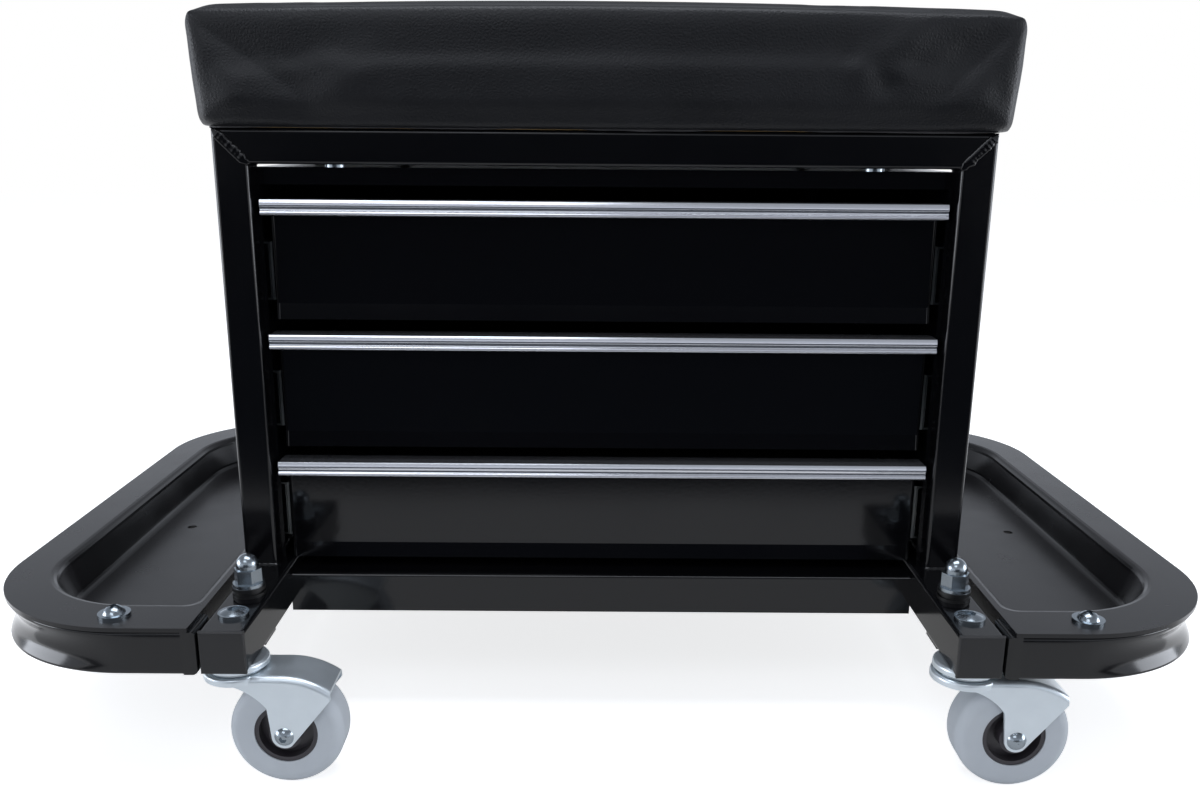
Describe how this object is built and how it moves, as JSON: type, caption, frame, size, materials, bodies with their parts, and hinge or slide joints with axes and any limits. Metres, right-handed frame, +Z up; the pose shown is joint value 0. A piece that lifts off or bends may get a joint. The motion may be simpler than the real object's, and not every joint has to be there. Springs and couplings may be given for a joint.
{
  "type": "rolling tool chest seat",
  "caption": "Padded workshop seat on a square-tube frame with drawers under the cushion, a tool tray on each side and swivel casters.",
  "frame": {"origin": "on the floor under the middle of the frame", "axes": "+X to the user's right when facing the drawers, +Y from the drawer fronts to the back, +Z up"},
  "size_m": [0.72, 0.453, 0.4355],
  "materials": {
    "frame_paint": "gloss black powder coat",
    "cabinet_paint": "gloss black paint",
    "tray_paint": "gloss black paint",
    "black_plastic": "matte moulded",
    "pull_aluminium": "bright extruded",
    "slide_steel": "zinc plate",
    "bright_zinc": "bright zinc plate",
    "fork_zinc": "bright zinc plate",
    "hub_plastic": "moulded, satin",
    "tyre_rubber": "matte grey",
    "plywood": "unfinished",
    "vinyl": "satin grained vinyl over foam"
  },
  "bodies": {
    "frame": {"left_base_rail": "frame_paint", "right_base_rail": "frame_paint", "front_posts": "frame_paint", "rear_posts": "frame_paint", "front_top_rail": "frame_paint", "rear_top_rail": "frame_paint", "side_top_rails": "frame_paint", "left_tray_tube": "frame_paint", "right_tray_tube": "frame_paint", "tray_brackets": "frame_paint", "cabinet_left_side": "cabinet_paint", "cabinet_right_side": "cabinet_paint", "cabinet_back": "cabinet_paint", "cabinet_top": "cabinet_paint", "cabinet_base": "cabinet_paint", "left_tray_pan": "tray_paint", "right_tray_pan": "tray_paint", "rail_end_caps": "black_plastic", "tray_tube_caps": "black_plastic", "nut_bushes": "black_plastic", "slide_outer_channels": "slide_steel", "tray_studs": "bright_zinc", "acorn_nuts": "bright_zinc", "tray_screws": "bright_zinc", "caster_bolts": "bright_zinc", "caster_top_discs": "bright_zinc", "caster_kingpins": "bright_zinc", "caster_ball_races": "bright_zinc", "seat_screws": "bright_zinc", "seat_board": "plywood", "seat_cushion": "vinyl"},
    "top_drawer": {"top_drawer_pan": "cabinet_paint", "top_drawer_pull": "pull_aluminium", "top_drawer_slides": "slide_steel"},
    "top_ball_cages": {"top_drawer_ball_cages": "slide_steel"},
    "middle_drawer": {"middle_drawer_pan": "cabinet_paint", "middle_drawer_pull": "pull_aluminium", "middle_drawer_slides": "slide_steel"},
    "middle_ball_cages": {"middle_drawer_ball_cages": "slide_steel"},
    "bottom_drawer": {"bottom_drawer_pan": "cabinet_paint", "bottom_drawer_pull": "pull_aluminium", "bottom_drawer_slides": "slide_steel"},
    "bottom_ball_cages": {"bottom_drawer_ball_cages": "slide_steel"},
    "front_left_caster": {"front_left_fork": "fork_zinc", "front_left_axle": "fork_zinc"},
    "front_left_wheel": {"front_left_hub": "hub_plastic", "front_left_tyre": "tyre_rubber"},
    "front_right_caster": {"front_right_fork": "fork_zinc", "front_right_axle": "fork_zinc"},
    "front_right_wheel": {"front_right_hub": "hub_plastic", "front_right_tyre": "tyre_rubber"},
    "rear_left_caster": {"rear_left_fork": "fork_zinc", "rear_left_axle": "fork_zinc"},
    "rear_left_wheel": {"rear_left_hub": "hub_plastic", "rear_left_tyre": "tyre_rubber"},
    "rear_right_caster": {"rear_right_fork": "fork_zinc", "rear_right_axle": "fork_zinc"},
    "rear_right_wheel": {"rear_right_hub": "hub_plastic", "rear_right_tyre": "tyre_rubber"}
  },
  "joints": [
    {"name": "top_drawer_slide", "type": "slide", "parent": "frame", "child": "top_drawer", "axis": [0, -1, 0], "range_m": [0, 0.14]},
    {"name": "top_cage_slide", "type": "slide", "parent": "frame", "child": "top_ball_cages", "axis": [0, -1, 0], "range_m": [0, 0.07]},
    {"name": "middle_drawer_slide", "type": "slide", "parent": "frame", "child": "middle_drawer", "axis": [0, -1, 0], "range_m": [0, 0.14]},
    {"name": "middle_cage_slide", "type": "slide", "parent": "frame", "child": "middle_ball_cages", "axis": [0, -1, 0], "range_m": [0, 0.07]},
    {"name": "bottom_drawer_slide", "type": "slide", "parent": "frame", "child": "bottom_drawer", "axis": [0, -1, 0], "range_m": [0, 0.14]},
    {"name": "bottom_cage_slide", "type": "slide", "parent": "frame", "child": "bottom_ball_cages", "axis": [0, -1, 0], "range_m": [0, 0.07]},
    {"name": "front_left_swivel", "type": "hinge", "parent": "frame", "child": "front_left_caster", "pos_m": [-0.2065, -0.202, 0.069], "axis": [0, 0, 1], "continuous": true},
    {"name": "front_left_roll", "type": "hinge", "parent": "front_left_caster", "child": "front_left_wheel", "pos_m": [-0.1785, -0.202, 0.0325], "axis": [0, 1, 0], "continuous": true},
    {"name": "front_right_swivel", "type": "hinge", "parent": "frame", "child": "front_right_caster", "pos_m": [0.2065, -0.202, 0.069], "axis": [0, 0, 1], "continuous": true},
    {"name": "front_right_roll", "type": "hinge", "parent": "front_right_caster", "child": "front_right_wheel", "pos_m": [0.2345, -0.202, 0.0325], "axis": [0, 1, 0], "continuous": true},
    {"name": "rear_left_swivel", "type": "hinge", "parent": "frame", "child": "rear_left_caster", "pos_m": [-0.2065, 0.202, 0.069], "axis": [0, 0, 1], "continuous": true},
    {"name": "rear_left_roll", "type": "hinge", "parent": "rear_left_caster", "child": "rear_left_wheel", "pos_m": [-0.1785, 0.202, 0.0325], "axis": [0, 1, 0], "continuous": true},
    {"name": "rear_right_swivel", "type": "hinge", "parent": "frame", "child": "rear_right_caster", "pos_m": [0.2065, 0.202, 0.069], "axis": [0, 0, 1], "continuous": true},
    {"name": "rear_right_roll", "type": "hinge", "parent": "rear_right_caster", "child": "rear_right_wheel", "pos_m": [0.2345, 0.202, 0.0325], "axis": [0, 1, 0], "continuous": true}
  ],
  "couplings": [
    {"joint": "top_cage_slide", "follows": "top_drawer_slide", "ratio": 0.5},
    {"joint": "middle_cage_slide", "follows": "middle_drawer_slide", "ratio": 0.5},
    {"joint": "bottom_cage_slide", "follows": "bottom_drawer_slide", "ratio": 0.5}
  ]
}
